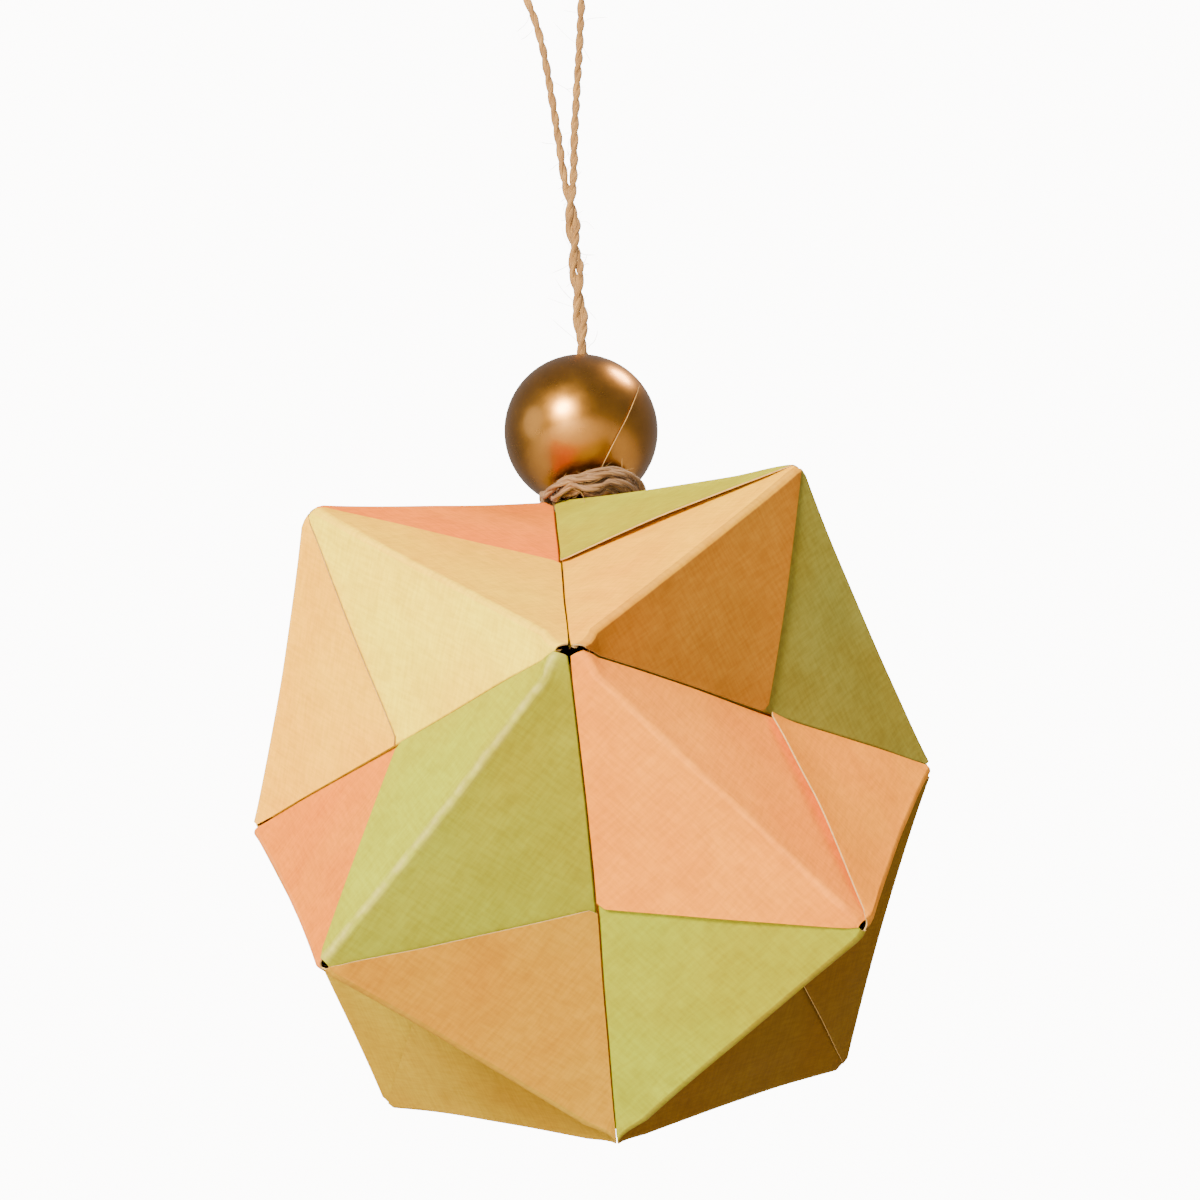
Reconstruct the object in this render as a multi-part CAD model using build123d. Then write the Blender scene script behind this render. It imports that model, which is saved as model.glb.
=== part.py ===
from build123d import *
import os
from math import sqrt, tan, radians

# A hanging ball of twelve folded paper units, with a bead and a loop of twine.
# Each unit is one square sheet folded to a square with two triangular tabs. The square is creased
# along its diagonal, and every tab turns over a ridge and slides into a neighbour's pocket, so that
# the twelve units lock into a star with six wide points and eight cube corners.
# The row's origin is the inside of the loop's top, where it hangs. +Z is up and -Y is the front.

# Driving dimensions, in millimetres
sheet_side = 100.0      # the square sheet that a unit is folded from
paper = 0.15            # one layer of paper
tab_gap = 0.05          # air on each face of a tab in its pocket
tab_short = 0.30        # how far a tab stops short of the closed side of its pocket
ridge_round = 0.45      # outer radius of the ridge fold
point_hole = 0.80       # radius of the small opening where four units meet
thread_hole = 1.30      # the same at the top point, widened by the twine
bead_diameter = 17.5
bead_bore = 4.2
bead_seat = 0.10        # height of the bead above the ball's top point
bead_offset = (3.1, 0.8)    # how far the bead lies off the ball's axis, to the right and back
bore_lean = 6.5         # degrees that the bead's bore leans to the right
twine = 1.0             # diameter of the two-ply twine
strand_air = 0.20       # between the two strands where they lie side by side
turns_radius = 4.2      # middle of the turns wound under the bead
turns_thickness = 3.2   # the wound bundle, before bead and ball squash it
stopper_diameter = 4.4  # knot inside the ball that carries it
seat_gap = 0.05         # between knots and what they bear on

# The free twine, from the left of the bore's mouth round the loop's top and back to its right.
# The two strands twist about each other above the bead, then part into an open loop.
loop_route = [
    (-0.25, 0.05, -72.75), (0.42, -0.75, -69.25), (1.29, 0.05, -65.85), (0.55, 0.85, -62.45),
    (-0.19, 0.05, -59.15), (0.67, -0.75, -55.95), (1.53, 0.05, -52.75), (0.79, 0.85, -49.35),
    (0.05, 0.05, -45.95), (-0.02, -0.15, -39.15), (-0.40, -0.25, -32.65), (-0.72, -0.20, -26.15),
    (-1.70, -0.45, -19.15), (-3.90, -0.55, -12.15), (-5.60, -0.35, -5.65), (-3.00, -0.15, 0.25),
    (3.00, 0.15, 0.75), (5.60, 0.45, -4.95), (5.30, 0.55, -11.95), (4.40, 0.45, -18.95),
    (3.60, 0.35, -25.95), (2.75, 0.25, -32.45), (1.95, 0.15, -38.95), (1.65, 0.05, -45.75),
    (0.85, -0.75, -49.15), (-0.07, 0.05, -52.55), (0.79, 0.85, -55.75), (1.41, 0.05, -58.95),
    (0.67, -0.75, -62.25), (-0.31, 0.05, -65.65), (0.30, 0.85, -69.05), (0.95, 0.05, -72.75),
]

# Levels through the stack of folded paper on a face, from the inside out
body_low = 3 * paper                # a unit's own layers under its pocket
body_top = 4 * paper                # its own layers elsewhere
tab_in = body_top + tab_gap
tab_out = tab_in + 4 * paper        # a tab is four layers
door_in = tab_out + tab_gap
door_out = door_in + paper          # the single layer that closes the pocket

# The star's own sizes. Its creases lie at the middle of the stack.
crease_radius = sheet_side / sqrt(8)                    # centre to a wide point, and a ridge's length
radius = crease_radius - 1.5 * door_out / 2             # the same on the inner surface
tip = radius + 1.5 * door_out                           # the same on the outer surface
reach = 2 * radius                                      # longer than any unit, for cutting

# Places along the hanging line
strand_gap = twine + strand_air
mouth = (Vector(*loop_route[0]) + Vector(*loop_route[-1])) / 2
bore_axis = Vector(0, 0, 1).rotate(Axis.Y, bore_lean)
bead_centre = mouth - bore_axis * (bead_diameter / 2)
ball_centre = bead_centre - Vector(*bead_offset, tip + bead_seat + bead_diameter / 2)
top_point = ball_centre + Vector(0, 0, tip)


def slab(x, y, z):
    """A box given by its two limits along each axis."""
    size = [high - low for low, high in (x, y, z)]
    middle = [(high + low) / 2 for low, high in (x, y, z)]
    return Pos(*middle) * Box(*size)


def inside(shape, plane):
    """What lies on the inner side of a plane whose normal points away from it."""
    return split(shape, bisect_by=plane, keep=Keep.BOTTOM)


def half_unit():
    """Half a unit at a cube corner, whose three faces look along x, y and z.

    The half square lies in the x face, with its ridge along -y and its valley opposite the corner.
    The tab turns over that ridge into the z face.
    """
    point = Vector(0, -radius, 0)                       # the wide point at the ridge's end
    valley = Plane(origin=point, z_dir=(1, -2, -2))
    far_valley = Plane(origin=point, z_dir=(-2, -2, 1))
    altitude = Plane(origin=(0, 0, 0), z_dir=(0, 1, -1)).offset(-tab_gap)
    width = (-reach, -tab_gap)

    lower = slab((0, body_low), width, (-reach, tab_out))
    upper = split(slab((body_low, body_top), width, (-reach, 0)), bisect_by=altitude, keep=Keep.TOP)
    door = inside(slab((door_in, door_out), width, (-reach, tab_out)), altitude)
    wall = slab((0, door_out), width, (-reach, tab_out))
    wall = split(wall, bisect_by=valley.offset(-paper), keep=Keep.TOP)
    wall = inside(wall, altitude)
    square = inside(inside(lower + upper + door + wall, valley), far_valley)

    tab = slab((-reach, door_out), (-reach, tab_in - tab_gap), (tab_in, tab_out))
    tab = inside(inside(tab, far_valley.offset(-paper - tab_short)), valley)
    return square + tab


def round_ridge(half):
    """Round the fold along the ridge, where the square turns into the tab."""
    edges = half.edges().filter_by(Axis.Y)
    ridge = [e for e in edges if (e @ 0.5).X > door_out - 0.01 and (e @ 0.5).Z > tab_out - 0.01]
    return fillet(ridge, min(ridge_round, 3 * paper))


def folded_unit():
    """A whole unit, with its valley crease from the +X point to the +Y point of the star."""
    half = round_ridge(half_unit())
    corner = Plane(origin=Vector(2, 2, 2) * (radius / 3), x_dir=(2, 2, -1), z_dir=(2, -1, 2))
    first = corner.location * half
    turned = Plane(origin=(0, 0, 0), x_dir=(0, 1, 0), z_dir=(0, 0, -1))
    unit = first + turned.location * first
    hole = Cylinder(point_hole, reach)
    for turn in (Rot(0, 90, 0), Rot(90, 0, 0), Rot(0, 0, 0)):
        unit = unit - turn * hole
    return unit


def place_unit(unit, first, second):
    """Turn a unit so that its crease joins two points of the star, and centre it on the ball."""
    frame = Plane(origin=ball_centre, x_dir=first, z_dir=first.cross(second))
    return frame.location * unit


def strand(points):
    """A twine laid along straight runs joined by the largest arcs that the runs allow."""
    points = [Vector(*p) for p in points]
    radii = []
    for before, here, after in zip(points, points[1:], points[2:]):
        incoming = here - before
        outgoing = after - here
        half_turn = radians(incoming.get_angle(outgoing)) / 2
        radii.append(0.45 * min(incoming.length, outgoing.length) / tan(half_turn))
    path = FilletPolyline(*points, radius=radii)
    print("arc radii", [round(r, 1) for r in radii], "length", round(path.length, 1))
    section = Plane(origin=path @ 0, z_dir=path % 0) * Circle(twine / 2)
    return sweep(section, path=path)


def bead():
    """A turned wooden bead with its bore rounded over at both ends."""
    ball = Sphere(bead_diameter / 2) - Cylinder(bead_bore / 2, 2 * bead_diameter)
    rims = ball.edges().filter_by(GeomType.CIRCLE)
    ball = fillet(rims, 0.35)
    return Pos(*bead_centre) * Rot(0, bore_lean, 0) * ball


def stopper():
    """The knot inside the ball, drawn up against the four creases under the top point."""
    drop = 1.5 * door_out + (stopper_diameter / 2 + seat_gap) * sqrt(2)
    return Pos(*(top_point - Vector(0, 0, drop))) * Sphere(stopper_diameter / 2)


def inner_twine(knot):
    """The two strands, side by side, from the knot through the top point and up the bead's bore."""
    low = knot.center()
    rise = top_point + Vector(0.1, 0, -0.2)
    entry = bead_centre - bore_axis * (bead_diameter / 2 - 1.6)
    strands = []
    for side, end in ((-1, loop_route[0]), (1, loop_route[-1])):
        offset = Vector(0, side * strand_gap / 2, 0)
        corner = entry + Vector(side * strand_gap * 0.25, side * strand_gap * 0.43, 0)
        strands.append(strand([low + offset, rise + offset, corner, end]))
    return [s - knot for s in strands]


def wound_turns(bead_solid, strands):
    """The bundle of turns wound round the twine, pressed between the bead and the ball's top."""
    centre = top_point + Vector(bead_offset[0] + 0.5, 0.4, 0.3)
    bundle = Pos(*centre) * Rot(0, -5, 0) * Torus(turns_radius, turns_thickness / 2)
    socket = Pos(*bead_centre) * Sphere(bead_diameter / 2 + seat_gap)
    slope = radians(19.47)
    depth = 12
    roof = Pos(0, 0, -depth / 2) * Cone(depth / tan(slope), 0, depth)
    roof = Pos(*(top_point + Vector(0, 0, seat_gap))) * roof
    bundle = bundle - socket - roof
    for s in strands:
        bundle = bundle - s
    return bundle


points = {
    "front": Vector(0, -1, 0), "back": Vector(0, 1, 0), "left": Vector(-1, 0, 0),
    "right": Vector(1, 0, 0), "top": Vector(0, 0, 1), "bottom": Vector(0, 0, -1),
}
unit_creases = [
    ("front", "top"), ("front", "right"), ("front", "bottom"), ("front", "left"),
    ("back", "top"), ("back", "right"), ("back", "bottom"), ("back", "left"),
    ("top", "left"), ("top", "right"), ("bottom", "left"), ("bottom", "right"),
]

shapes = {}
unit = folded_unit()
opening = Pos(*top_point) * Cylinder(thread_hole, 12)
for first, second in unit_creases:
    placed = place_unit(unit, points[first], points[second])
    shapes["unit_" + first + "_" + second] = placed - opening

shapes["bead"] = bead()
shapes["stopper_knot"] = stopper()
strands = inner_twine(shapes["stopper_knot"])
shapes["inner_twine"] = Compound(children=strands)
shapes["wound_knot"] = wound_turns(shapes["bead"], strands)
shapes["hanging_loop"] = strand(loop_route) - strands[0] - strands[1]

os.makedirs("parts", exist_ok=True)
for name, shape in shapes.items():
    export_step(shape, "parts/" + name + ".step")
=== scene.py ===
import random
from math import cos, hypot, pi, radians, sin, sqrt, tau

import bmesh
import bpy
from mathutils import Matrix, Vector, noise


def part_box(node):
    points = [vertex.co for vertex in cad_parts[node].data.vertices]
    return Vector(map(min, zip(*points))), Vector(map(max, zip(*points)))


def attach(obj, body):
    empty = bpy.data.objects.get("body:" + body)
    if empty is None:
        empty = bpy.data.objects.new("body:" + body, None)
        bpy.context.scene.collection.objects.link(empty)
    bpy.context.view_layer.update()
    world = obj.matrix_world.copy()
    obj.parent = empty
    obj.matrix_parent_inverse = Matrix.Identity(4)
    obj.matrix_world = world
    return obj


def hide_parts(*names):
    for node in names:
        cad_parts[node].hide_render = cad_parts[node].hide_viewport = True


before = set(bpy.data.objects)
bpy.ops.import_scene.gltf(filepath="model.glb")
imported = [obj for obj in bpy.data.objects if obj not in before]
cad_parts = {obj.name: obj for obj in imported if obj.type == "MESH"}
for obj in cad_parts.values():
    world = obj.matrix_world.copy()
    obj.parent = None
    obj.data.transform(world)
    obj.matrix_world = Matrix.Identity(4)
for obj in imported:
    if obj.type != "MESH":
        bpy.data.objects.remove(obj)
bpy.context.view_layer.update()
noise.seed_set(1)           # so that vector noise is the same in every run

# A hanging ball of twelve folded paper units, with a gold bead and a loop of jute twine.
# Sizes are in metres. Each unit is one square of paper, folded flat and locked into its neighbours.

mm = 0.001
sheet_side = 100 * mm
paper = 0.15 * mm           # one layer
tab_gap = 0.05 * mm         # air on each face of a tab in its pocket
ridge_round = 0.65 * mm     # outer radius of a ridge fold
bead_radius = 8.75 * mm
bead_bore = 2.1 * mm        # radius of the hole through the bead
bore_lean = radians(6.5)    # how far the bore leans to the right
stopper_height = 31.0865    # of the knot inside, above the ball's middle, in millimetres
neck_height = 36.24         # where the strands leave the top point, likewise

# Levels through the stack of paper on a face, from the inside out
body_top = 4 * paper
tab_in = body_top + tab_gap
tab_out = tab_in + 4 * paper
door_in = tab_out + tab_gap
door_out = door_in + paper
radius = sheet_side / sqrt(8) - 1.5 * door_out / 2      # centre to a wide point, on the inside
tip = radius + 1.5 * door_out                           # the same on the outside

# The ball hangs a little to the left of the loop's top. The boxes of three units end at its middle.
centre = Vector((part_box("unit_front_right")[0][0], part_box("unit_back_right")[0][1],
                 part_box("unit_front_bottom")[1][2]))
bead_low, bead_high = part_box("bead")
bead_centre = (Vector(bead_low) + Vector(bead_high)) / 2
bore_direction = Vector((sin(bore_lean), 0, cos(bore_lean)))
stopper_middle = centre + Vector((0, 0, stopper_height)) * mm

directions = {
    "front": Vector((0, -1, 0)), "back": Vector((0, 1, 0)), "left": Vector((-1, 0, 0)),
    "right": Vector((1, 0, 0)), "top": Vector((0, 0, 1)), "bottom": Vector((0, 0, -1)),
}

# The front view's own directions: to its right, up it, and out of it towards the viewer
view_side = Vector((0.98879, 0.13664, -0.06017))
view_up = Vector((0.08976, -0.22202, 0.9709))
toward = Vector((0.1193, -0.96542, -0.23179))


# ---------------------------------------------------------------- camera

def make_camera():
    """A close view from the front, a little to the left and well below the ball's middle."""
    data = bpy.data.cameras.new("camera")
    data.lens = 67.5
    camera = bpy.data.objects.new("camera", data)
    bpy.context.scene.collection.objects.link(camera)
    place = centre + Vector((1.1, -217.9, -89.6)) * mm
    aim = Vector((0.0094, 0.8882, 0.4594))
    side = aim.cross(view_up).normalized()
    upward = side.cross(aim)
    turn = Matrix((side, upward, -aim)).transposed()
    camera.matrix_world = Matrix.Translation(place) @ turn.to_4x4()
    data.clip_start = 0.01
    bpy.context.scene.camera = camera


make_camera()


# ---------------------------------------------------------------- shader helpers

def linear(code):
    """A colour for a shader from an sRGB hex code."""
    parts = [int(code[i:i + 2], 16) / 255 for i in (1, 3, 5)]
    return tuple(c / 12.92 if c <= 0.04045 else ((c + 0.055) / 1.055) ** 2.4 for c in parts) + (1.0,)


def add(tree, kind, inputs=None, **settings):
    """A shader node with its settings, and with inputs set to values or linked from sockets."""
    made = tree.nodes.new("ShaderNode" + kind)
    for key, value in settings.items():
        setattr(made, key, value)
    for key, value in (inputs or {}).items():
        if isinstance(value, bpy.types.NodeSocket):
            tree.links.new(value, made.inputs[key])
        else:
            made.inputs[key].default_value = value
    return made


def new_material(name):
    """An empty node material and its tree."""
    material = bpy.data.materials.new(name)
    material.use_nodes = True
    material.node_tree.nodes.clear()
    return material, material.node_tree


def finish_material(tree, shader):
    add(tree, "OutputMaterial", {"Surface": shader.outputs["BSDF"]})


def ramp(tree, value, *stops):
    """A colour ramp on a value, from (place, grey or colour) stops."""
    made = add(tree, "ValToRGB", {"Fac": value})
    elements = made.color_ramp.elements
    while len(elements) < len(stops):
        elements.new(0.5)
    for element, (place, colour) in zip(elements, stops):
        element.position = place
        element.color = colour if isinstance(colour, tuple) else (colour, colour, colour, 1)
    return made.outputs["Color"]


def blend(tree, mode, factor, below, above):
    """Two colours mixed in a blending mode."""
    made = add(tree, "Mix", data_type="RGBA", blend_type=mode)
    for socket, value in ((made.inputs[0], factor), (made.inputs[6], below), (made.inputs[7], above)):
        if isinstance(value, bpy.types.NodeSocket):
            tree.links.new(value, socket)
        else:
            socket.default_value = value
    return made.outputs[2]


# ---------------------------------------------------------------- materials

def washed_and_shaded_paper(name, scuff_highlight_strength, first_door, first_tab, second_door, second_tab):
    """Craft paper printed with washes of ink: matt, with soft mottling and a fine felt grain.

    A sheet's tint drifts across it, so each half of the unit has its own tint on either side
    of its ridge; the tints also hold painted shade, darker on faces turned from the lamps.
    The ink is rubbed paler along the folds, and a highlight is painted along their crests.
    """
    material, tree = new_material(name)
    sheet = add(tree, "UVMap", uv_map="sheet").outputs["UV"]
    half = add(tree, "Attribute", attribute_name="half").outputs["Fac"]
    side = add(tree, "Attribute", attribute_name="side").outputs["Fac"]
    wear_and_highlight = add(tree, "Attribute", attribute_name="wear_and_highlight").outputs["Fac"]
    # door and tab tints differ partly by painted shade: the darker one stands for a face turned from the
    # lamps
    door = blend(tree, "MIX", half, linear(first_door), linear(second_door))
    tab = blend(tree, "MIX", half, linear(first_tab), linear(second_tab))
    tint = blend(tree, "MIX", side, door, tab)
    # washes of ink, some 20 mm across, warmer where they pooled, with smaller blooms in them
    wash = add(tree, "TexNoise", {
        "Vector": sheet, "Scale": 1 / (20 * mm), "Detail": 2.0, "Roughness": 0.5})
    bloom = add(tree, "TexNoise", {
        "Vector": sheet, "Scale": 1 / (4 * mm), "Detail": 5.0, "Distortion": 0.8})
    tint = blend(tree, "MULTIPLY", 1.0, tint, ramp(tree, wash.outputs["Fac"],
                 (0.34, (1.0, 0.86, 0.62, 1)), (0.62, (1.0, 1.0, 1.0, 1))))
    tint = blend(tree, "MULTIPLY", 1.0, tint, ramp(tree, bloom.outputs["Fac"],
                 (0.36, (0.93, 0.90, 0.84, 1)), (0.62, (1.0, 1.0, 1.0, 1))))
    # a laid grain: faint lines both ways, about 0.35 mm apart and 2.4 mm long
    across, along = 1 / (0.35 * mm), 1 / (2.4 * mm)
    for stretch in ((along, across, 1), (across, along, 1)):
        laid = add(tree, "Mapping", {"Vector": sheet, "Scale": stretch})
        grain = add(tree, "TexNoise", {"Vector": laid.outputs["Vector"], "Scale": 1.0, "Detail": 2.0})
        tint = blend(tree, "MULTIPLY", 1.0, tint,
                     ramp(tree, grain.outputs["Fac"], (0.35, (0.90, 0.87, 0.81, 1)), (0.62, (1, 1, 1, 1))))
    # ink rubbed off the folds in short dashes, together with a painted highlight along each ridge's crest
    scuff_and_highlight = add(tree, "TexNoise", {"Vector": sheet, "Scale": 1 / (1.6 * mm), "Detail": 3.0})
    scuffed_and_highlit = add(tree, "Math", {0: wear_and_highlight, 1: ramp(tree, scuff_and_highlight.outputs["Fac"], (0.38, 0.25), (0.62, 1.0))},
                 operation="MULTIPLY")
    scuffed_and_highlit = add(tree, "Math", {0: scuffed_and_highlit.outputs[0], 1: scuff_highlight_strength}, operation="MULTIPLY")
    # the pale cream is worn ink and a painted highlight on the ridge together
    tint = blend(tree, "MIX", scuffed_and_highlit.outputs[0], tint, linear("#FFE7A0"))
    fibre = add(tree, "TexNoise", {
        "Vector": sheet, "Scale": 1 / (0.5 * mm), "Detail": 4.0, "Roughness": 0.6})
    bump = add(tree, "Bump", {"Height": fibre.outputs["Fac"], "Strength": 0.35, "Distance": 0.03 * mm})
    shader = add(tree, "BsdfPrincipled", {
        "Base Color": tint,
        "Roughness": ramp(tree, bloom.outputs["Fac"], (0.3, 0.62), (0.7, 0.72)),
        "Specular IOR Level": 0.04,
        "Normal": bump.outputs["Normal"],
    })
    finish_material(tree, shader)
    return material


def cut_paper_edge():
    """The cut edge of the paper, where the sheet's core shows between its printed faces; its colour is
    darker than the core's cream, painted shade for the thin dark line along each raw edge.
    """
    material, tree = new_material("cut_paper_edge")
    place = add(tree, "TexCoord").outputs["Object"]
    fuzz = add(tree, "TexNoise", {"Vector": place, "Scale": 1 / (0.3 * mm), "Detail": 2.0})
    # tan, darker than the paper's own cream: painted shade along the raw edges
    tint = blend(tree, "MIX", fuzz.outputs["Fac"], linear("#A07C44"), linear("#D0AC6C"))
    finish_material(tree, add(tree, "BsdfPrincipled", {
        "Base Color": tint, "Roughness": 0.8, "Specular IOR Level": 0.2}))
    return material


def gold_paint():
    """Satin gold paint on turned wood: metal flakes in lacquer, with a faint orange peel."""
    material, tree = new_material("gold_painted_wood")
    place = add(tree, "TexCoord").outputs["Object"]
    cloud = add(tree, "TexNoise", {"Vector": place, "Scale": 1 / (5 * mm), "Detail": 3.0})
    flake = add(tree, "TexNoise", {"Vector": place, "Scale": 1 / (0.25 * mm), "Detail": 2.0})
    tint = blend(tree, "MIX", cloud.outputs["Fac"], linear("#94601E"), linear("#B47E34"))
    tint = blend(tree, "MULTIPLY", 1.0, tint, ramp(tree, flake.outputs["Fac"], (0.3, 0.96), (0.7, 1.0)))
    peel = add(tree, "TexNoise", {"Vector": place, "Scale": 1 / (1.8 * mm), "Detail": 3.0})
    bump = add(tree, "Bump", {"Height": peel.outputs["Fac"], "Strength": 0.08, "Distance": 0.05 * mm})
    finish_material(tree, add(tree, "BsdfPrincipled", {
        "Base Color": tint, "Metallic": 1.0, "Normal": bump.outputs["Normal"],
        "Coat Weight": 0.25, "Coat Roughness": 0.14,
        "Roughness": ramp(tree, peel.outputs["Fac"], (0.3, 0.27), (0.7, 0.34))}))
    return material


def jute_fibre(name, pale, dark):
    """Spun jute: dry, straw-brown bast fibres that run along each ply."""
    material, tree = new_material(name)
    along = add(tree, "UVMap", uv_map="sheet").outputs["UV"]
    # fibres of about 0.08 mm, some 3 mm long
    stretched = add(tree, "Mapping", {"Vector": along, "Scale": (1 / (3 * mm), 1 / (0.08 * mm), 1)})
    streak = add(tree, "TexNoise", {"Vector": stretched.outputs["Vector"], "Scale": 1.0, "Detail": 3.0})
    patch = add(tree, "TexNoise", {"Vector": along, "Scale": 1 / (2.5 * mm), "Detail": 2.0})
    tint = blend(tree, "MIX", ramp(tree, streak.outputs["Fac"], (0.33, 0.0), (0.62, 1.0)),
                 linear(dark), linear(pale))
    tint = blend(tree, "MULTIPLY", 1.0, tint, ramp(tree, patch.outputs["Fac"],
                 (0.35, (0.86, 0.80, 0.72, 1)), (0.65, (1, 1, 1, 1))))
    bump = add(tree, "Bump", {"Height": streak.outputs["Fac"], "Strength": 0.6, "Distance": 0.05 * mm})
    finish_material(tree, add(tree, "BsdfPrincipled", {
        "Base Color": tint, "Roughness": 0.75, "Specular IOR Level": 0.3,
        "Sheen Weight": 0.15, "Normal": bump.outputs["Normal"]}))
    return material


def pale_stage():
    """Smooth matt white board."""
    material, tree = new_material("matt_white_board")
    place = add(tree, "TexCoord").outputs["Object"]
    mottle = add(tree, "TexNoise", {"Vector": place, "Scale": 6.0})
    tint = blend(tree, "MIX", mottle.outputs["Fac"], linear("#EFEEEC"), linear("#F6F5F3"))
    finish_material(tree, add(tree, "BsdfPrincipled", {"Base Color": tint, "Roughness": 0.8}))
    return material


# ---------------------------------------------------------------- the twine

# The free twine's route in millimetres: up from the bead, round the top of the loop and back.
# The strands twist about each other above the bead, then part.
loop_route = [
    (-0.25, 0.05, -72.75), (0.42, -0.75, -69.25), (1.29, 0.05, -65.85), (0.55, 0.85, -62.45),
    (-0.19, 0.05, -59.15), (0.67, -0.75, -55.95), (1.53, 0.05, -52.75), (0.79, 0.85, -49.35),
    (0.05, 0.05, -45.95), (-0.02, -0.15, -39.15), (-0.40, -0.25, -32.65), (-0.72, -0.20, -26.15),
    (-1.70, -0.45, -19.15), (-3.90, -0.55, -12.15), (-5.60, -0.35, -5.65), (-3.00, -0.15, 0.25),
    (3.00, 0.15, 0.75), (5.60, 0.45, -4.95), (5.30, 0.55, -11.95), (4.40, 0.45, -18.95),
    (3.60, 0.35, -25.95), (2.75, 0.25, -32.45), (1.95, 0.15, -38.95), (1.65, 0.05, -45.75),
    (0.85, -0.75, -49.15), (-0.07, 0.05, -52.55), (0.79, 0.85, -55.75), (1.41, 0.05, -58.95),
    (0.67, -0.75, -62.25), (-0.31, 0.05, -65.65), (0.30, 0.85, -69.05), (0.95, 0.05, -72.75),
]


def smooth_line(points, resolution=14):
    """Points read along a NURBS spline that has the given points as its control points."""
    curve = bpy.data.curves.new("route", "CURVE")
    curve.dimensions = "3D"
    spline = curve.splines.new("NURBS")
    spline.points.add(len(points) - 1)
    for point, place in zip(spline.points, points):
        point.co = (*place, 1)
    spline.order_u = 3
    spline.use_endpoint_u = True
    spline.resolution_u = resolution
    guide = bpy.data.objects.new("route", curve)
    bpy.context.scene.collection.objects.link(guide)
    bpy.context.view_layer.update()
    mesh = bpy.data.meshes.new_from_object(guide)
    line = [v.co.copy() for v in mesh.vertices]
    bpy.data.meshes.remove(mesh)
    bpy.data.objects.remove(guide)
    bpy.data.curves.remove(curve)
    return line


def even_line(line, step):
    """The same line with its points a fixed step apart."""
    lengths = [0.0]
    for before, after in zip(line, line[1:]):
        lengths.append(lengths[-1] + (after - before).length)
    count = max(2, round(lengths[-1] / step))
    made = []
    place = 0
    for i in range(count + 1):
        goal = lengths[-1] * i / count
        while place < len(line) - 2 and lengths[place + 1] < goal:
            place += 1
        span = max(lengths[place + 1] - lengths[place], 1e-9)
        made.append(line[place].lerp(line[place + 1], (goal - lengths[place]) / span))
    return made


def line_length(line):
    return sum((after - before).length for before, after in zip(line, line[1:]))


def twist_frames(line):
    """For each point of a line, two directions across it that never spin about it."""
    frames = []
    across = None
    for i, point in enumerate(line):
        ahead = (line[min(i + 1, len(line) - 1)] - line[max(i - 1, 0)]).normalized()
        if across is None:
            across = ahead.orthogonal().normalized()
        across = (across - ahead * across.dot(ahead)).normalized()
        frames.append((point, across, ahead.cross(across)))
    return frames


def shaped_grid(bm, columns, rows, shape):
    """A grid laid out by shape(column, row), which gives a place, its sheet coordinate and its tones.

    The tones are: 0 or 1 for a unit's half, 0 to 1 from its door to its tab, and 0 to 1 for fold wear with
    painted highlight.
    """
    sheet = bm.loops.layers.uv.get("sheet") or bm.loops.layers.uv.new("sheet")
    tones = [bm.verts.layers.float.get(name) or bm.verts.layers.float.new(name)
             for name in ("half", "side", "wear_and_highlight")]
    verts = bmesh.ops.create_grid(bm, x_segments=columns, y_segments=rows, size=1.0)["verts"]
    flat = {}
    for vert in verts:
        column = round((vert.co.x + 1) / 2 * columns)
        row = round((vert.co.y + 1) / 2 * rows)
        vert.co, flat[vert], values = shape(column, row)
        for layer, value in zip(tones, values):
            vert[layer] = value
    for face in {face for vert in verts for face in vert.link_faces}:
        face.smooth = True
        for loop in face.loops:
            loop[sheet].uv = flat[loop.vert]
    return verts


def mesh_object(name, bm, slot, *materials):
    """A finished piece from a bmesh, riding on the ball."""
    mesh = bpy.data.meshes.new(name)
    bm.to_mesh(mesh)
    bm.free()
    for material in materials:
        mesh.materials.append(material)
    made = bpy.data.objects.new(name, mesh)
    bpy.context.scene.collection.objects.link(made)
    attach(made, "root")
    return made


def spin_plies(bm, line, radius=0.36 * mm, offset=0.17 * mm, pitch=5.4 * mm, start=0.0):
    """Two plies twisted together along a line, each thick and thin by turns as hand-spun jute is."""
    sides = 8
    taper = 1.2 * mm        # length of each closed end
    line = even_line(line, 0.22 * mm)
    frames = twist_frames(line)
    step = line_length(line) / (len(line) - 1)
    rows = len(line) - 1
    for ply in range(2):
        def place(column, row, ply=ply):
            point, across, side = frames[row]
            along = row * step
            swell = 1 + 0.16 * noise.noise(point / (1.6 * mm) + Vector((0, 0, 7 * ply)))
            end = min(1.0, min(row, rows - row) * step / taper + 0.02)
            turn = tau * along / pitch + pi * ply + start
            turn += 0.5 * noise.noise(point / (4 * mm))
            middle = point + (across * cos(turn) + side * sin(turn)) * offset * end
            round_it = tau * column / sides
            reach = radius * swell * sqrt(end) * (0.0 if row in (0, rows) else 1.0)
            co = middle + (across * cos(round_it) + side * sin(round_it)) * reach
            # sheet coordinates that wind round the ply, so the fibres lie along its twist
            return co, (along, (round_it - 0.6 * turn) * radius), (0.0, 0.0, 0.0)
        verts = shaped_grid(bm, sides, rows, place)
        bmesh.ops.remove_doubles(bm, verts=verts, dist=0.5e-6)


def twisted_strand(name, slot, lines, *nodes, material=None, **shape):
    """A piece of twine: plies along each line, standing for some CAD nodes."""
    bm = bmesh.new()
    for i, line in enumerate(lines):
        spin_plies(bm, line, start=1.3 * i, **shape)
    made = mesh_object(name, bm, slot, material)
    if nodes:
        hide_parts(*nodes)
    return made


jute = jute_fibre("spun_jute", "#AC7E3E", "#5E3E1C")

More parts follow.
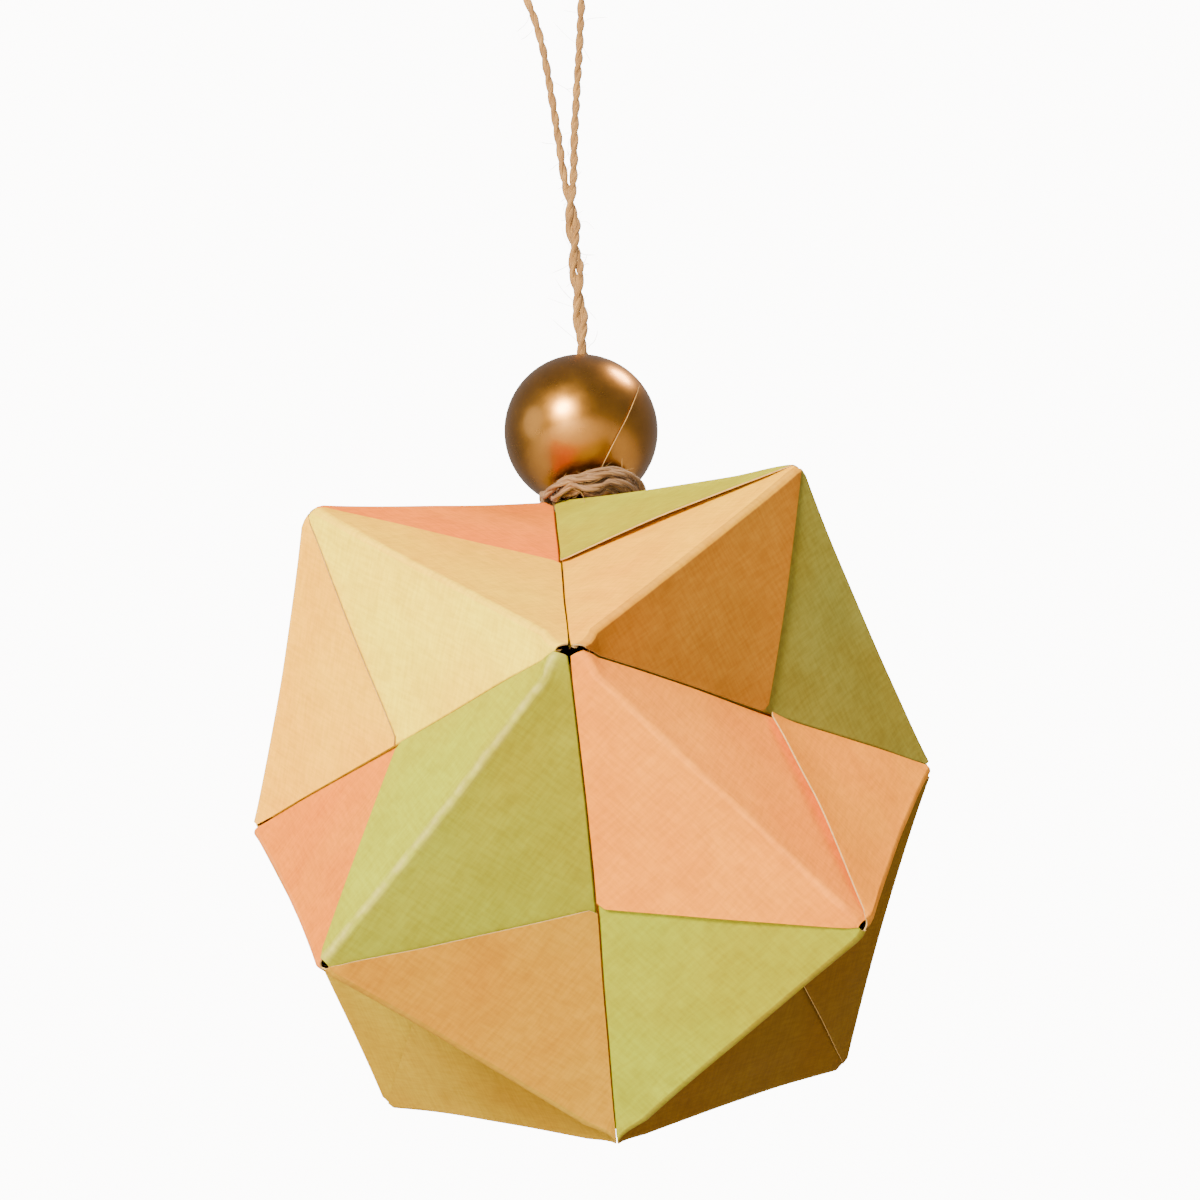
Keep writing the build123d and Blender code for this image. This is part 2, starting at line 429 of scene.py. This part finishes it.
# The free twine comes first. Below twist_top its two strands twist about one line, and lie closer
# to it by the share snug.
twist_middle = Vector((0.62, 0.05))
twist_top = -44.0
snug = 0.74


def drawn_in(point):
    """A point of the loop's route, with the twisted pair pulled snug above the bead."""
    place = Vector(point)
    if place.z < twist_top:
        place.x, place.y = twist_middle + (place.xy - twist_middle) * snug
    return place * mm


loop_line = smooth_line([drawn_in(point) for point in loop_route])
hanging_loop = twisted_strand("hanging_loop_twine", "twine", [loop_line], "hanging_loop", material=jute)


# ---------------------------------------------------------------- the paper units

# How far each point of this hand-folded ball strays from a true one, in millimetres. Keys are the
# signs along left-right, front-back and down-up.
wide_point_strays = {
    (1, 0, 0): (0.3, -0.1, -0.3), (-1, 0, 0): (1.0, 0.2, 0.0),
    (0, 0, 1): (-0.6, 0.0, 0.0), (0, 0, -1): (0.1, 0.0, -0.4),
    (0, -1, 0): (0.0, 0.0, 0.0), (0, 1, 0): (0.2, 0.3, 0.0),
}
corner_strays = {
    (-1, -1, 1): (-1.1, 0.0, 0.4), (1, -1, 1): (0.5, 0.2, 0.1),
    (1, -1, -1): (0.6, 0.1, -0.9), (-1, -1, -1): (-1.0, -0.3, 0.0),
    (1, 1, -1): (1.2, 0.1, -0.4), (-1, 1, 1): (-0.3, 0.1, 0.0),
    (1, 1, 1): (0.4, 0.2, 0.0), (-1, 1, -1): (-0.6, -0.2, 0.0),
}

# How far out a blunted point reaches from the ball's middle, in millimetres
corner_limits = {(-1, -1, 1): 40.4, (1, -1, 1): 41.0, (1, -1, -1): 40.5}
wide_point_limits = {(0, 0, 1): 37.0}
corner_limit = 40.7         # for the points not named
wide_point_limit = 36.2

shoulder_width = 5 * mm     # of a ridge's soft rounding, on either side
shoulder_sag = 0.45         # how far a ridge sags at its middle, in millimetres
pull_reach = 3.5            # how far from a point its opening is pulled about, in millimetres
blunt_share = 0.75          # of what reaches past a limit, the share that is pressed back


def settle(place):
    """Moves a point of a true ball to where it lies on this hand-folded one.

    Neighbouring layers move together, so nothing is driven through its neighbour.
    """
    offset = (place - centre) / radius
    signs = [1 if part >= 0 else -1 for part in offset]
    order = sorted(range(3), key=lambda i: -abs(offset[i]))
    big, mid, small = (abs(offset[i]) for i in order)
    first = tuple(signs[i] if i == order[0] else 0 for i in range(3))
    second = tuple(signs[i] if i == order[1] else 0 for i in range(3))
    stray = Vector(corner_strays[tuple(signs)]) * (1.5 * small)
    stray += Vector(wide_point_strays[first]) * (big - small)
    stray += Vector(wide_point_strays[second]) * (mid - small)
    stray += noise.noise_vector(place / (26 * mm)) * 0.30
    stray += noise.noise_vector(place / (9 * mm)) * 0.07
    # ridges between their two ends are softly rounded, with all their layers
    corner = Vector(signs) * 2 / 3
    ridge = corner - Vector(first)
    along = (offset - Vector(first)).dot(ridge)
    off_ridge = (offset - Vector(first) - ridge * along).length * radius - 1.5 * mm
    shoulder = max(0.0, 1 - max(0.0, off_ridge) / shoulder_width) ** 2
    outward = (3 * Vector(first) + Vector(signs)).normalized()
    stray -= outward * shoulder_sag * shoulder * sin(pi * min(1.0, max(0.0, along))) ** 0.7
    # the front point's opening is pulled to a level slit, and the bottom one is pinched shut
    from_front = (place - centre) / mm - Vector((0, -tip / mm, 0))
    from_bottom = (place - centre) / mm - Vector((0, 0, -tip / mm))
    pull = max(0.0, 1 - from_front.length / pull_reach)
    pinch = min(1.0, max(0.0, 1.2 - from_bottom.length / pull_reach))
    stray.z -= 0.6 * pull * from_front.z
    stray.x += 0.8 * pull * from_front.x
    stray.x -= 0.92 * pinch * from_bottom.x
    # tips are pressed blunt by handling
    corner_end = corner_limits.get(tuple(signs), corner_limit)
    wide_end = wide_point_limits.get(first, wide_point_limit)
    for direction, limit in ((Vector(signs).normalized(), corner_end), (Vector(first), wide_end)):
        over = offset.dot(direction) * radius / mm - limit
        if over > 0:
            stray -= direction * over * blunt_share
    return place + stray * mm


def corner_frame(first, second):
    """Half a unit's origin, and axes out of its door's face, along its ridge and out of its tab's."""
    third = first.cross(second)
    out = (2 * first + 2 * second - third) / 3
    tab = (2 * first - second + 2 * third) / 3
    return centre + (first + second + third) * radius * 2 / 3, out, tab.cross(out), tab


# Columns across half a unit: its door, the ridge's fold, its tab, the tab's far fold, and the strip
# that this fold turns under.
door_columns = 19
fold_columns = 7
tab_columns = 23
roll_columns = 5
under_columns = 4

face_middle = -radius / 2   # where a door's raw edge runs out at the valley, along the ridge
edge_gap = 0.06 * mm        # from a door to its raw edge's neighbour and to the valley
lift_width = 8 * mm         # how much of a door lifts with its raw edge
curl_width = 4 * mm         # how much of a tab curls with its folded edge
tab_tip = 2.2 * mm          # how far from a wide point a tab's end stays
under_width = 2.7 * mm      # the most that is turned under a tab

def ridge_profile(y, lift, curl):
    """One cut across a half unit, from its door's raw edge, over the ridge, to its tab's far edge.

    Gives (x, z, distance along the paper, side, wear with painted highlight) for each column of the sheet.
    """
    bend = ridge_round
    reach = -radius - y
    door_end = max(y + edge_gap, reach + door_out / 2 + edge_gap)
    door_start = tab_out - bend
    points = []
    for i in range(door_columns):
        # closer together at the raw edge, where the paper lifts, and at the ridge, where it turns
        t = i / (door_columns - 1)
        z = door_end + (door_start - door_end) * t * t * (3 - 2 * t)
        x = door_out
        from_edge = (z - y) / sqrt(2)
        from_valley = (z - reach) / sqrt(2)
        if y > face_middle - 3 * mm:
            x += lift * max(0.0, 1 - max(from_edge, 0.0) / lift_width) ** 2.2
        if y < face_middle:
            x -= 0.03 * mm * max(0.0, 1 - max(from_valley, 0.0) / (0.7 * mm)) ** 2
        points.append((x, z, 0.0))
    for i in range(1, fold_columns + 1):
        turn = pi / 2 * i / (fold_columns + 1)
        points.append((door_out - bend + bend * cos(turn), tab_out - bend + bend * sin(turn), 0.5))
    tab_start = door_out - bend
    roll = (tab_out - tab_in) / 2
    tab_end = reach + tab_out / 2 + 0.10 * mm + roll
    tab_end = min(max(tab_end, -radius + tab_tip), tab_start - 0.05 * mm)
    for i in range(tab_columns):
        t = i / (tab_columns - 1)
        x = tab_start + (tab_end - tab_start) * t * t * (3 - 2 * t)
        rise = curl * max(0.0, 1 - (x - tab_end) / curl_width) ** 2 if y < face_middle else 0.0
        points.append((x, tab_out + rise, 1.0))
    rise = curl if y < face_middle else 0.0
    for i in range(1, roll_columns + 1):
        turn = pi * i / (roll_columns + 1)
        points.append((tab_end - roll * sin(turn), tab_out + rise - roll + roll * cos(turn), 1.0))
    under = min(under_width, max(0.0, tab_start - 0.45 * mm - tab_end))
    for i in range(under_columns):
        t = i / (under_columns - 1)
        points.append((tab_end + under * t, tab_in + rise * (1 - i / under_columns), 1.0))
    made = []
    along = 0.0
    before = points[0]
    for x, z, side in points:
        along += hypot(x - before[0], z - before[1])
        before = (x, z)
        made.append((x, z, along, side))
    # the ink is rubbed, and a highlight painted, nearest the crest of the ridge
    crest = made[door_columns + fold_columns // 2][2]
    return [(x, z, along - crest, side, max(0.0, 1 - abs(along - crest) / (0.7 * mm)))
            for x, z, along, side in made]


ridge_columns = door_columns + fold_columns + tab_columns + roll_columns + under_columns - 1
ridge_rows = 40
body_cells = 24


def fold_half(bm, first, second, half, lift, curl, seed):
    """Half a unit: its door, ridge and tab as one sheet, then the body beneath them."""
    origin, out, along, tab = corner_frame(first, second)
    apex_end = 0.60 * mm
    # the top point is left open for the two strands of twine
    opening = 1.25 if first == directions["top"] else 0.35
    point_end = -(radius - (opening + 0.15 * noise.noise(Vector((seed, 3, 0)))) * mm)
    profiles = []
    for row in range(ridge_rows + 1):
        t = row / ridge_rows
        if t < 0.5:
            y = apex_end + (face_middle - apex_end) * t * 2
        else:
            y = face_middle + (point_end - face_middle) * (t * 2 - 1)
        bow = max(0.0, sin(pi * min(1.0, max(0.0, -y / (radius / 2 + 3 * mm))))) ** 0.8
        wavy = 1 + 0.25 * noise.noise(Vector((y / (5 * mm), seed, 0)))
        spread = max(0.0, sin(pi * min(1.0, max(0.0, (-y - radius / 2) / (radius / 2)))))
        profiles.append((y, ridge_profile(y, lift * bow * wavy, curl * spread)))

    def skin(column, row):
        y, profile = profiles[row]
        x, z, sheet, side, wear_and_highlight = profile[column]
        place = origin + out * x + along * y + tab * z
        # more worn ink and painted highlight near the ridge's two ends
        ridge_end_scuffing_and_highlight = max(0.0, 1 - abs(y - apex_end) / (1.2 * mm), 1 - abs(y - point_end) / (1.5 * mm))
        wear_and_highlight = max(wear_and_highlight, 0.7 * ridge_end_scuffing_and_highlight * (wear_and_highlight > 0))
        return settle(place), (sheet + seed * 0.11, y), (half, side, wear_and_highlight)

    shaped_grid(bm, ridge_columns, ridge_rows, skin)

    def body(column, row):
        y = -0.4 * mm - (radius - 2.2 * mm) * row / body_cells
        z = (-radius - y + body_top / 2) * (1 - column / body_cells) - 0.05 * mm
        place = origin + out * body_top + along * y + tab * z
        return settle(place), (z, y + seed * 0.13), (half, 0.0, 0.0)

    shaped_grid(bm, body_cells, body_cells, body)


def thicken(made):
    """Gives a sheet the paper's thickness, inward, with cut edges of their own material."""
    solid = made.modifiers.new("paper thickness", "SOLIDIFY")
    solid.thickness = paper
    solid.offset = -1
    solid.material_offset_rim = 1
    evaluated = made.evaluated_get(bpy.context.evaluated_depsgraph_get())
    mesh = bpy.data.meshes.new_from_object(evaluated)
    made.modifiers.clear()
    flat = made.data
    made.data = mesh
    bpy.data.meshes.remove(flat)
    mesh.set_sharp_from_angle(angle=radians(50))


def folded_unit(name, inks_with_painted_shade, lifts, curls, seed, scuff_and_highlight):
    """One square of paper folded into a unit, with a tab and a pocket at either end."""
    bm = bmesh.new()
    first, second = (directions[word] for word in name.split("_"))
    fold_half(bm, first, second, 0.0, lifts[0] * mm, curls[0] * mm, seed)
    fold_half(bm, second, first, 1.0, lifts[1] * mm, curls[1] * mm, seed + 0.5)
    shaded_ink_material = washed_and_shaded_paper("washed_and_shaded_paper_" + name, scuff_and_highlight, *inks_with_painted_shade)
    made = mesh_object("paper_unit_" + name, bm, "paper_" + name, shaded_ink_material, edge_paper)
    thicken(made)
    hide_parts("unit_" + name)


edge_paper = cut_paper_edge()

# Each unit's inks (its first half's door and tab, then its second half's), how far its doors' raw
# edges lift and how far its tabs' folded edges curl, half by half, in millimetres. The inks hold
# painted shade as well as the paper's own colour: faces turned from the lamps got darker tints
# than lit faces of the same sheet.
units = {
    # front_right's first door and first tab are one sheet: the door's dark tint is painted shade
    "front_top": (("#FCC814", "#FCE018", "#ACAC20", "#B8B040"), (0.20, 0.55), (0.10, 0.10)),
    "front_right": (("#9A661C", "#FCBC14", "#FC9E14", "#84601C"), (0.35, 0.75), (0.10, 0.25)),
    "front_bottom": (("#EC9018", "#FC9A20", "#C49020", "#A48C1C"), (0.30, 0.12), (0.10, 0.10)),
    "front_left": (("#A6AE20", "#949828", "#FCC014", "#F0B840"), (0.15, 0.12), (0.15, 0.10)),
    "back_top": (("#E8A050", "#EFB45C", "#D0C050", "#C4B448"), (0.30, 0.25), (0.10, 0.10)),
    "back_right": (("#C09430", "#C8A438", "#B8B048", "#B0A43C"), (0.15, 0.15), (0.12, 0.10)),
    "back_bottom": (("#B08C28", "#B4903C", "#745818", "#6C5014"), (0.25, 0.30), (0.10, 0.12)),
    "back_left": (("#F0A050", "#F0AC5C", "#E6BC50", "#A88C20"), (0.30, 0.20), (0.10, 0.10)),
    "top_left": (("#F59848", "#FC8818", "#E8B448", "#EAB84C"), (0.20, 0.35), (0.10, 0.10)),
    "top_right": (("#A8A648", "#A4A044", "#8E8A34", "#807C34"), (0.25, 0.30), (0.10, 0.22)),
    "bottom_left": (("#A88820", "#BC9430", "#E89048", "#E88414"), (0.25, 0.20), (0.10, 0.10)),
    "bottom_right": (("#6C4E14", "#98A020", "#6E5418", "#7C5C1C"), (0.30, 0.30), (0.12, 0.10)),
}
scuffed_and_highlit_units = {"front_left": 0.20}     # the green unit's ridges get the most worn ink and painted highlight; the rest hardly any
for number, (name, (inks_with_painted_shade, lifts, curls)) in enumerate(units.items(), 1):
    folded_unit(name, inks_with_painted_shade, lifts, curls, float(number), scuffed_and_highlit_units.get(name, 0.03))


# ---------------------------------------------------------------- bead and knots

def turned_bead():
    """A turned wooden ball with a hole through it, its rims eased, painted gold."""
    bm = bmesh.new()
    ease = 0.45 * mm
    ball_steps = 16         # from the middle of the bead to either rim
    rim_steps = 5
    bore_steps = 8
    profile = []
    rim = bead_bore + ease
    start = pi / 2 - sin(rim / bead_radius)
    for i in range(2 * ball_steps + 1):
        turn = start * (1 - i / ball_steps)
        profile.append((bead_radius * cos(turn), bead_radius * sin(turn)))
    top = profile[0][1] - ease
    for i in range(1, rim_steps + 1):
        turn = pi / 2 * i / rim_steps
        profile.append((rim - ease * sin(turn), -top - ease * cos(turn)))
    for i in range(bore_steps + 1):
        profile.append((bead_bore, -top + 2 * top * i / bore_steps))
    for i in range(rim_steps, 0, -1):
        turn = pi / 2 * i / rim_steps
        profile.append((rim - ease * sin(turn), top + ease * cos(turn)))
    verts = [bm.verts.new((x, 0, z)) for x, z in profile]
    edges = [bm.edges.new(pair) for pair in zip(verts, verts[1:] + verts[:1])]
    bmesh.ops.spin(bm, geom=verts + edges, cent=(0, 0, 0), axis=(0, 0, 1), angle=tau, steps=96,
                   use_merge=True)
    bmesh.ops.remove_doubles(bm, verts=bm.verts, dist=1e-6)
    bmesh.ops.recalc_face_normals(bm, faces=bm.faces)
    for face in bm.faces:
        face.smooth = True
    turn = Vector((0, 0, 1)).rotation_difference(bore_direction).to_matrix().to_4x4()
    bmesh.ops.transform(bm, matrix=Matrix.Translation(bead_centre) @ turn, verts=bm.verts)
    made = mesh_object("gold_bead", bm, "bead_gold", gold_paint())
    made.data.set_sharp_from_angle(angle=radians(60))
    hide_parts("bead")


turned_bead()

rubbed_jute = jute_fibre("rubbed_jute", "#A07A50", "#5A3E24")

# The wound turns' middle and tilt, and the ball's point below them
bundle = Vector((-0.14, -0.35, -89.99)) * mm
bundle_turn = Matrix.Rotation(radians(-5), 3, "Y")
top_point = settle(centre + Vector((0, 0, tip)))
turn_clearance = 0.72 * mm  # from the paper up to a turn's middle


def rest_on_ball(place):
    """Lifts a point of a turn clear of the four ridges that meet at the ball's top point."""
    off = place - top_point
    near, far = sorted((abs(off.x), abs(off.y)))
    place.z = max(place.z, top_point.z + near / 2 - far + turn_clearance)
    return place


def wound_line():
    """Eight slack turns of twine wound between the ball's top and the bead."""
    # radius and height of each turn about the bundle's middle, in millimetres
    turns = [(2.7, -0.65), (3.3, -1.0), (4.2, -1.3), (5.2, -1.35), (5.5, -0.8), (4.7, -0.6),
             (3.9, -0.3), (4.8, 0.0), (5.3, -0.1)]
    random.seed(5)
    line = []
    count = 44              # points in each turn
    for k, (near, far) in enumerate(zip(turns, turns[1:])):
        skew = (random.uniform(-0.5, 0.5), random.uniform(-0.5, 0.5))
        for i in range(count):
            t = i / count
            ease = t * t * (3 - 2 * t)
            reach = near[0] + (far[0] - near[0]) * ease
            height = near[1] + (far[1] - near[1]) * ease
            turn = tau * t - pi / 2 - 0.3
            # the lower turns dip into the valleys between the ball's ridges
            height -= (0.9 if k < 4 else 0.3) * max(0.0, cos(4 * turn))
            place = Vector((reach * cos(turn) + skew[0] * sin(pi * t),
                            reach * sin(turn) + skew[1] * sin(pi * t),
                            height + 0.28 * sin(2 * turn + 2.3 * k)))
            line.append(rest_on_ball(bundle + bundle_turn @ (place * mm)))
    return line


twisted_strand("wound_twine", "twine", [wound_line()], "wound_knot", material=rubbed_jute,
               radius=0.25 * mm, offset=0.17 * mm, pitch=6.5 * mm)


def inner_lines():
    """The two strands from inside the ball, up past the wound turns and through the bead's bore."""
    lines = []
    for side, end in ((-1, loop_line[0]), (1, loop_line[-1])):
        bore_low = bead_centre - bore_direction * 7.15 * mm + Vector((0.30, 0.516, 0)) * side * mm
        neck = settle(centre + Vector((0, 0.36 * side, neck_height)) * mm)
        points = [stopper_middle + Vector((0, 0.6 * side, -0.6)) * mm,
                  stopper_middle + Vector((0.2, 0.6 * side, 2.2)) * mm,
                  neck, bore_low, bead_centre + Vector((0.1, 0.35 * side, 0)) * mm, end]
        lines.append(smooth_line(points))
    return lines


twisted_strand("inner_twine_strands", "twine", inner_lines(), "inner_twine", material=jute)


def overhand_line(middle, size):
    """A thumb knot: the twine crosses itself three times in a tight ball."""
    steps = 160
    line = []
    for i in range(steps + 1):
        turn = tau * i / steps
        place = Vector((sin(turn) + 2 * sin(2 * turn), cos(turn) - 2 * cos(2 * turn),
                        -sin(3 * turn) * 1.3))
        line.append(middle + place * size / 3)
    return line


twisted_strand("stopper_knot_twine", "twine", [overhand_line(stopper_middle, 1.55 * mm)], "stopper_knot",
               material=jute)


# ---------------------------------------------------------------- loose fibres

def add_fibre(bm, points, thick):
    """One loose fibre, tapered to both ends."""
    sides = 4
    step = 0.25 * mm
    line = even_line(smooth_line(points, 6), step)
    frames = twist_frames(line)
    rows = len(line) - 1

    def place(column, row):
        point, across, side = frames[row]
        turn = tau * column / sides
        reach = thick * (0.0 if row in (0, rows) else min(1.0, 0.35 + 3 * min(row, rows - row) / rows))
        return point + (across * cos(turn) + side * sin(turn)) * reach, (row * step, 0), (0, 0, 0)

    verts = shaped_grid(bm, sides, rows, place)
    bmesh.ops.remove_doubles(bm, verts=verts, dist=0.5e-6)


def stray_fibres(lines):
    """Jute fibres that have worked loose and stand off the twine.

    Each line comes with its number of fibres, their greatest length in millimetres, and how far
    they stand off.
    """
    random.seed(11)
    bm = bmesh.new()
    for line, count, longest, stand in lines:
        for _ in range(count):
            start = random.randrange(2, len(line) - 3)
            ahead = (line[start + 1] - line[start]).normalized()
            away = ahead.orthogonal().normalized()
            away.rotate(Matrix.Rotation(random.uniform(0, tau), 3, ahead))
            long = random.uniform(0.25, 1.0) ** 1.6 * longest * mm
            lean = ahead * random.choice((-1, 1)) * random.uniform(0.5, 1.4)
            bend = Vector([random.uniform(-0.5, 0.5) for _ in range(3)])
            base = line[start] + away * 0.35 * mm
            away *= stand
            points = [base, base + (away * 0.5 + lean) * long * 0.3, base + (away + lean) * long * 0.6,
                      base + (away + lean + bend) * long]
            add_fibre(bm, points, random.uniform(0.014, 0.030) * mm)
    mesh_object("stray_jute_fibres", bm, "twine", loose_jute)


loose_jute = jute_fibre("loose_jute", "#C49850", "#94703C")
wound = wound_line()
stray_fibres([(loop_line, 70, 3.0, 1.0), (loop_line, 120, 1.6, 0.6), (wound, 120, 2.8, 0.3)])


def golden_fibre():
    """One long stiff fibre that rises from the wound turns across the face of the bead."""
    clear_of_bead = 8.98    # from the bead's middle, in millimetres
    points = []
    for across, up in ((1.0, -7.8), (1.7, -6.2), (2.6, -4.4), (3.5, -2.6), (4.4, -0.8), (5.1, 1.0),
                       (5.7, 2.6), (6.1, 4.0)):
        out = sqrt(max(0.0, clear_of_bead ** 2 - across * across - up * up))
        points.append(bead_centre + (view_side * across + view_up * up + toward * out) * mm)
    bm = bmesh.new()
    add_fibre(bm, points, 0.055 * mm)
    mesh_object("long_fibre_over_bead", bm, "twine", loose_jute)


golden_fibre()


# ---------------------------------------------------------------- floor and light

floor_height = -0.30        # about 14 cm below the ball
light_away = 0.9            # from the bead to the two nearer soft boxes


def pale_floor():
    """A pale round floor, 18 m across, well below the hanging ball."""
    bm = bmesh.new()
    bmesh.ops.create_circle(bm, segments=96, radius=9.0, cap_ends=True)
    mesh = bpy.data.meshes.new("pale_floor")
    bm.to_mesh(mesh)
    bm.free()
    mesh.materials.append(pale_stage())
    floor = bpy.data.objects.new("pale_floor", mesh)
    floor.location = (0, 0, floor_height)
    bpy.context.scene.collection.objects.link(floor)


def soft_light(name, place, size, power, colour):
    """A round soft box aimed at the bead."""
    data = bpy.data.lights.new(name, "AREA")
    data.shape = "DISK"
    data.size = size
    data.energy = power
    data.color = linear(colour)[:3]
    light = bpy.data.objects.new(name, data)
    light.location = place
    light.rotation_euler = (place - bead_centre).to_track_quat("Z", "Y").to_euler()
    bpy.context.scene.collection.objects.link(light)


def studio_light():
    """Even white light all round, with soft boxes up on the left, up behind, and wide on the left.

    The even light is strong only where it is seen itself, as a white backdrop.
    """
    world = bpy.data.worlds.new("white_studio")
    bpy.context.scene.world = world
    world.use_nodes = True
    tree = world.node_tree
    tree.nodes.clear()
    seen = add(tree, "LightPath").outputs["Is Camera Ray"]
    strength = add(tree, "MapRange", {"Value": seen, "To Min": 0.36, "To Max": 12.0})
    glow = add(tree, "Background", {"Color": linear("#FFFDFA"), "Strength": strength.outputs["Result"]})
    add(tree, "OutputWorld", {"Surface": glow.outputs["Background"]})
    key = (-0.51 * view_side + 0.285 * view_up + 0.81 * toward).normalized()
    soft_light("key_soft_box", bead_centre + key * light_away, 0.27, 25, "#FFF8EE")
    warm = (0.52 * view_side + 0.82 * view_up - 0.23 * toward).normalized()
    soft_light("warm_soft_box", bead_centre + warm * light_away, 0.24, 8, "#FFE2B4")
    bounce = (-0.95 * view_side + 0.1 * view_up + 0.15 * toward).normalized()
    soft_light("wall_bounce", bead_centre + bounce * 1.2, 0.8, 3, "#FFFFFF")


pale_floor()
studio_light()
